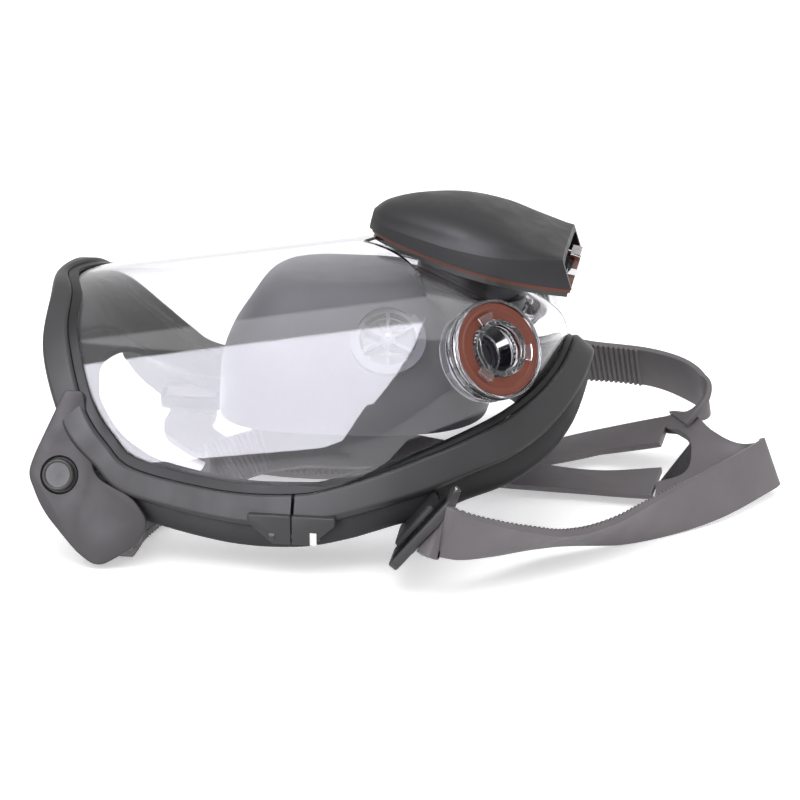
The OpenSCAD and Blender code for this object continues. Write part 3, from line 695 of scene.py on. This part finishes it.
def make_tabs():
    dish = [(0.001, TAB_T - 1), (6.4, TAB_T - 1), (7, TAB_T - 0.3), (7.4, TAB_T + 0.4), (0.001, TAB_T + 0.4)]
    hole = [(0.001, -1), (4.5, -1), (4.5, 5), (0.001, 5)]
    button = rounded([(0.001, -1.2, 0), (4, -1.2, 0.4), (4, TAB_T + 0.8, 0.2), (6, TAB_T + 0.8, 0.3),
                      (6, TAB_T + 2.1, 0.6), (5.1, TAB_T + 2.8, 0.4), (4.6, TAB_T + 2.3, 0.3),
                      (0.001, TAB_T + 2.6, 0)])
    for side, name in SIDE_NAMES.items():
        def place(p, side=side):
            return on_tab(p, side)

        def at_button(p, side=side):
            return on_tab(np.asarray(p) + np.array([*BUTTON_AT, 0]), side)
        tab = piece(f"tab_plate_{name}", [moved(slab(rounded(TAB, 8), 0, TAB_T, 0.7), place)], TAB_GREY,
                    stands_for=[f"temple_tab_{name}"], ride=False)
        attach(cut(tab, moved(revolve(dish), at_button), moved(revolve(hole), at_button)), "root")
        piece(f"button_cap_{name}", [moved(revolve(button), at_button)], BLACK,
              body=f"temple_button_{name}", stands_for=[f"temple_button_{name}"])


# ---------- lower buckles ----------
def make_buckles():
    outline = rounded([(-15, -20, 3), (2.2, -20, 2), (2.2, -17.6, 0.6), (-12.4, -17.6, 2),
                       (-12.4, 11.6, 2), (2.2, 11.6, 0.6), (2.2, 14, 2), (-15, 14, 3)])
    wire = [(-0.5, 13), (-5, 12.6), (-8, 11.4), (-8.9, 9), (-9, 4), (-9, -8), (-8.9, -14), (-8, -16),
            (-5, -16.8), (-0.5, -17)]
    lug = rounded([(-4, -3, 2), (4, -3, 2), (4.5, 12.5, 1), (-4.5, 12.5, 1)])
    for side, name in SIDE_NAMES.items():
        def place(p, side=side):
            return on_buckle(p, side)
        verts, faces = slab(outline, -1.8, 1.8, 0.6)
        ring = (place(verts[:, [2, 0, 1]]), faces)
        piece(f"buckle_ring_{name}", [ring], FRAME_GREY, body=f"buckle_{name}",
              stands_for=[f"buckle_frame_{name}"])
        route = [at(wire, k) for k in np.linspace(0, len(wire) - 1, 60)]
        rod = tube(place(np.array([[0, y, z] for y, z in route])), 0.95)
        piece(f"buckle_rod_{name}", [rod], STEEL, body=f"buckle_{name}",
              stands_for=[f"buckle_wire_{name}"])
        piece(f"lug_block_{name}", [moved(slab(lug, -17, 4, 1.8), place)], SEAL_BLACK,
              stands_for=[f"buckle_lug_{name}"])


# ---------- harness ----------
# Each strap is a list of points on its middle line, with the direction across its width
LOWER_RIGHT = [[[56.7, -88.5, 23.6], [0.64, 0, 0.77]], [[61, -94, 25], [0.64, 0, 0.77]],
    [[70, -89, 21], [0.5, -0.2, 0.84]],
    [[82, -77, 16], [0.35, -0.6, 0.72]], [[98, -60, 11], [0, -0.88, 0.47]],
    [[122, -40, 9.5], [-0.3, -0.8, 0.55]], [[150, -9, 11], [-0.5, -0.5, 0.7]],
    [[170, 22, 12.6], [-0.35, -0.05, 0.94]], [[173, 29, 12.8], [-0.36, 0, 0.93]]]
LOWER_LEFT = [[[56.7, 88.5, 23.6], [0.64, 0, 0.77]], [[61, 94, 25], [0.64, 0, 0.77]],
    [[82, 91, 31], [0.3, -0.3, 0.9]],
    [[100, 86, 32], [0.1, -0.45, 0.88]], [[122, 81, 32], [0, -0.45, 0.88]],
    [[137, 74, 30], [0, -0.4, 0.9]], [[146, 64, 27], [-0.1, -0.4, 0.9]],
    [[143, 55, 24], [0.4, -0.6, 0.6]], [[136, 51, 20], [0.65, -0.65, 0.2]]]
UPPER_LEFT = [[[131, 52, 15], [0, 0.98, 0.2]], [[105, 58, 7], [-0.1, 0.98, 0.1]],
    [[83, 47, 4.5], [-0.3, 0.95, 0]], [[55, 34, 3], [-0.3, 0.95, 0]], [[20, 25, 3], [-0.1, 1, 0]],
    [[-15, 23, 3], [0.2, 1, 0]], [[-42, 32, 3], [0.5, 0.85, 0]], [[-60, 50, 3], [0.9, 0.4, 0]],
    [[-66, 66, 2.6], [1, 0, 0]], [[-66, 75, 3.4], [1, 0, 0]], [[-66, 77.5, 7.4], [1, 0, 0]],
    [[-66, 76.2, 11], [1, 0, 0]], [[-66, 73.4, 18], [1, 0, 0]]]
UPPER_RIGHT = [[[130, 14, 7], [0, 0.98, 0.2]], [[107, 18, 4.5], [0, 1, 0.05]],
    [[85, 18, 5.5], [0, 1, 0.1]], [[58, 16, 9], [0, 0.95, 0.3]],
    [[33, 17, 12], [0, 0.85, 0.5]], [[8, 18, 14.5], [0.1, 0.75, 0.65]],
    [[-15, 13, 15], [0.2, 0.75, 0.6]], [[-38, 0, 11], [0.5, 0.75, 0.35]],
    [[-56, -28, 5.5], [0.85, 0.5, 0.1]], [[-65, -52, 3], [1, 0.15, 0]],
    [[-66, -66, 2.6], [1, 0, 0]], [[-66, -75, 3.4], [1, 0, 0]], [[-66, -77.5, 7.4], [1, 0, 0]],
    [[-66, -76.2, 11], [1, 0, 0]], [[-66, -73.4, 18], [1, 0, 0]]]
PLATE_RIM = [[[169, 29, 20], [176, 30, 2]], [[159, 31, 19], [164, 20, 3]],
    [[150, 38, 20.5], [152, 11, 3.5]], [[141, 50, 23], [141, 6, 4]],
    [[131, 62, 17], [130, 4, 5]]]


def strap_axes(route, s):
    line = [p for p, _ in route]
    across = [w for _, w in route]
    along = unit(at(line, s + 0.05) - at(line, s - 0.05))
    raw = at(across, s)
    side = unit(raw - along * (raw @ along))
    return at(line, s), side, np.cross(along, side)


def tooth(distance):
    """Height of the ridges that grip the buckle, at a distance along the strap."""
    wave = 0.5 + 0.5 * math.cos(2 * math.pi * distance / TOOTH_PITCH)
    return TOOTH_RISE * min(max(2.2 * (wave - 0.28), 0), 1)


def strap_shape(route, ridges, ridged_face):
    """ridges is the (first, last) distance of the toothed stretch; ridged_face is 1 or -1."""
    dense = np.linspace(0, len(route) - 1, 500)
    line = np.array([strap_axes(route, s)[0] for s in dense])
    walked = np.concatenate([[0], np.cumsum(np.linalg.norm(np.diff(line, axis=0), axis=1))])
    steps = np.arange(0, walked[-1], TOOTH_PITCH / 5)
    half_w, half_t, soft = STRAP_W / 2, STRAP_T / 2, 0.5
    rows = []
    for d in steps:
        m, side, face = strap_axes(route, np.interp(d, walked, dense))
        rise = tooth(d) if ridges[0] < d < ridges[1] else 0
        profile = rounded([(half_w, half_t + (rise if ridged_face > 0 else 0), soft),
                           (half_w, -half_t - (rise if ridged_face < 0 else 0), soft),
                           (-half_w, -half_t - (rise if ridged_face < 0 else 0), soft),
                           (-half_w, half_t + (rise if ridged_face > 0 else 0), soft)], 3)
        rows.append([m + side * q + face * h for q, h in profile])
    return grid(rows), walked[-1]


def make_strap(name, route, toothed, ridged_face, from_end=False, swing=None):
    """swing is (body, start, end); only whether it is given is used: then the strap rides on no body and its
    placement is baked into its points.
    """
    length = strap_shape(route, (0, 0), 1)[1]
    ridges = (length - toothed, length - 3) if from_end else (3, toothed)
    shape, _ = strap_shape(route, ridges, ridged_face)
    band = piece(f"{name}_band", [shape], HARNESS_GREY, stands_for=[name], crisp=50,
                 ride=swing is None)
    if swing:
        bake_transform(band)


def make_crown_plate():
    """Sheet between the straps, with a rounded window end between the two upper ones."""
    upper = [a for a, _ in PLATE_RIM]
    lower = [b for _, b in PLATE_RIM]
    rows = []
    for k in range(65):
        faces = ([], [])
        for t in np.linspace(0, 1, 41):
            reach = 4 - 1.15 * max(1 - (abs(2 * t - 1) / 0.66) ** 3, 0) ** 0.6
            s = reach * k / 64
            a, b = at(upper, s), at(lower, s)
            out = unit(np.cross(unit(a - b), [1, 0, 0])) * STRAP_T / 2
            faces[0].append(mix(a, b, t) + out)
            faces[1].append(mix(a, b, t) - out)
        rows.append(faces[0] + faces[1][::-1])
    piece("crown_plate_sheet", [grid(rows)], HARNESS_GREY, stands_for=["crown_plate"],
          crisp=50)


def make_harness():
    make_strap("strap_lower_right", LOWER_RIGHT, 126, -1,
               swing=("buckle_right", (82, -77, 16), (60, -92, 24.5)))
    make_strap("strap_lower_left", LOWER_LEFT, 68, 1,
               swing=("buckle_left", (92, 88, 31), (61, 93, 25)))
    make_strap("strap_upper_right", UPPER_RIGHT, 118, -1, from_end=True)
    make_strap("strap_upper_left", UPPER_LEFT, 118, -1, from_end=True)
    make_crown_plate()


# ---------- carried-over CAD nodes ----------
CAD_FINISH = {
    "frame_screws": BLACK, "frame_nuts": STEEL, "temple_keeper_": BLACK,
    "check_valve_seat_": SEAT_GREY, "check_valve_disc_": FLAP_CLEAR, "inhalation_seat_": SEAT_GREY,
    "inhalation_disc_": SEAT_GREY, "centre_adapter": BLACK, "adapter_nut": BLACK,
    "exhalation_seat": SEAT_GREY, "exhalation_disc": GASKET_RED, "cover_base": BLACK,
    "cover_gasket": GASKET_RED, "cover_latch": PORT_CLEAR, "buckle_pin_": STEEL,
}


def finish_cad_nodes():
    for name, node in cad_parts.items():
        for start, material in CAD_FINISH.items():
            if name.startswith(start):
                for spot in node.material_slots:
                    spot.material = material


# ---------- stage, lights and camera ----------
def make_stage():
    n = Nodes("floor_white")
    n.link(n.ramp(n.noise(400), ((0.3, (0.9, 0.9, 0.9)), (0.7, (0.93, 0.93, 0.93)))),
           n.shader.inputs["Base Color"])
    n.shader.inputs["Roughness"].default_value = 0.9
    n.shader.inputs["Emission Color"].default_value = (1, 1, 1, 1)
    n.shader.inputs["Emission Strength"].default_value = 0.4
    mesh = bpy.data.meshes.new("floor")
    mesh.from_pydata([(-12, -12, 0), (12, -12, 0), (12, 12, 0), (-12, 12, 0)], [], [(0, 1, 2, 3)])
    mesh.materials.append(n.material)
    floor = bpy.data.objects.new("floor", mesh)
    bpy.context.scene.collection.objects.link(floor)


def area_light(name, place, target, size, power):
    light = bpy.data.lights.new(name, "AREA")
    light.shape = "RECTANGLE"
    light.size, light.size_y = size
    light.energy = power
    obj = bpy.data.objects.new(name, light)
    obj.location = place
    obj.rotation_euler = (Vector(place) - Vector(target)).to_track_quat("Z", "Y").to_euler()
    obj.visible_camera = False
    bpy.context.scene.collection.objects.link(obj)


def make_softbox():
    """Bright card low on the left that shows only as the broad reflection along the lens."""
    n = Nodes("softbox_glow")
    glow = n.add("ShaderNodeEmission")
    glow.inputs["Color"].default_value = (0.93, 0.93, 1, 1)
    glow.inputs["Strength"].default_value = 9.5
    n.link(glow.outputs["Emission"], n.tree.nodes["Material Output"].inputs["Surface"])
    centre = Vector((-0.615, -0.72, 0.66))
    across = Vector((-0.84, 0.42, -0.36)).normalized()
    up = Vector((0, 0.64, 0.77)).normalized()
    outline = ((0.13, 0.43), (-0.5, 1.0), (-0.5, -0.9), (0.01, -0.64), (0.04, -0.4))
    mesh = bpy.data.meshes.new("softbox")
    mesh.from_pydata([centre + across * u + up * v for u, v in outline], [], [range(len(outline))])
    mesh.materials.append(n.material)
    card = bpy.data.objects.new("softbox", mesh)
    card.visible_camera = False
    card.visible_diffuse = False
    card.visible_shadow = False
    bpy.context.scene.collection.objects.link(card)


def make_lights():
    world = bpy.data.worlds.new("studio")
    world.use_nodes = True
    world.node_tree.nodes["Background"].inputs["Color"].default_value = (1, 1, 1, 1)
    world.node_tree.nodes["Background"].inputs["Strength"].default_value = 1.0
    bpy.context.scene.world = world
    area_light("key_softbox", (0.1, -0.3, 1.5), (0, 0, 0.05), (1.6, 1.2), 9)
    make_softbox()


def make_camera():
    """Photograph's view: from the wearer's right, a little towards the chin, 19 degrees down."""
    azimuth, elevation = math.radians(CAMERA_AZIMUTH), math.radians(CAMERA_ELEVATION)
    forward = Vector((-math.sin(azimuth) * math.cos(elevation), math.cos(azimuth) * math.cos(elevation),
                      -math.sin(elevation)))
    right = Vector((math.cos(azimuth), math.sin(azimuth), 0))
    place = Vector(CAMERA_TARGET) - CAMERA_DISTANCE * forward
    aside = math.atan(CAMERA_ASIDE)
    forward = (forward * math.cos(aside) + right * math.sin(aside)).normalized()
    camera = bpy.data.cameras.new("camera")
    camera.lens = 128.7
    obj = bpy.data.objects.new("camera", camera)
    obj.location = place
    obj.rotation_euler = forward.to_track_quat("-Z", "Y").to_euler()
    bpy.context.scene.collection.objects.link(obj)
    bpy.context.scene.camera = obj


make_lens()
make_frame()
make_seal()
make_nose_cup()
make_ports()
make_cover()
make_tabs()
make_buckles()
make_harness()
finish_cad_nodes()
make_stage()
make_lights()
make_camera()
bpy.context.scene.view_settings.view_transform = "Standard"
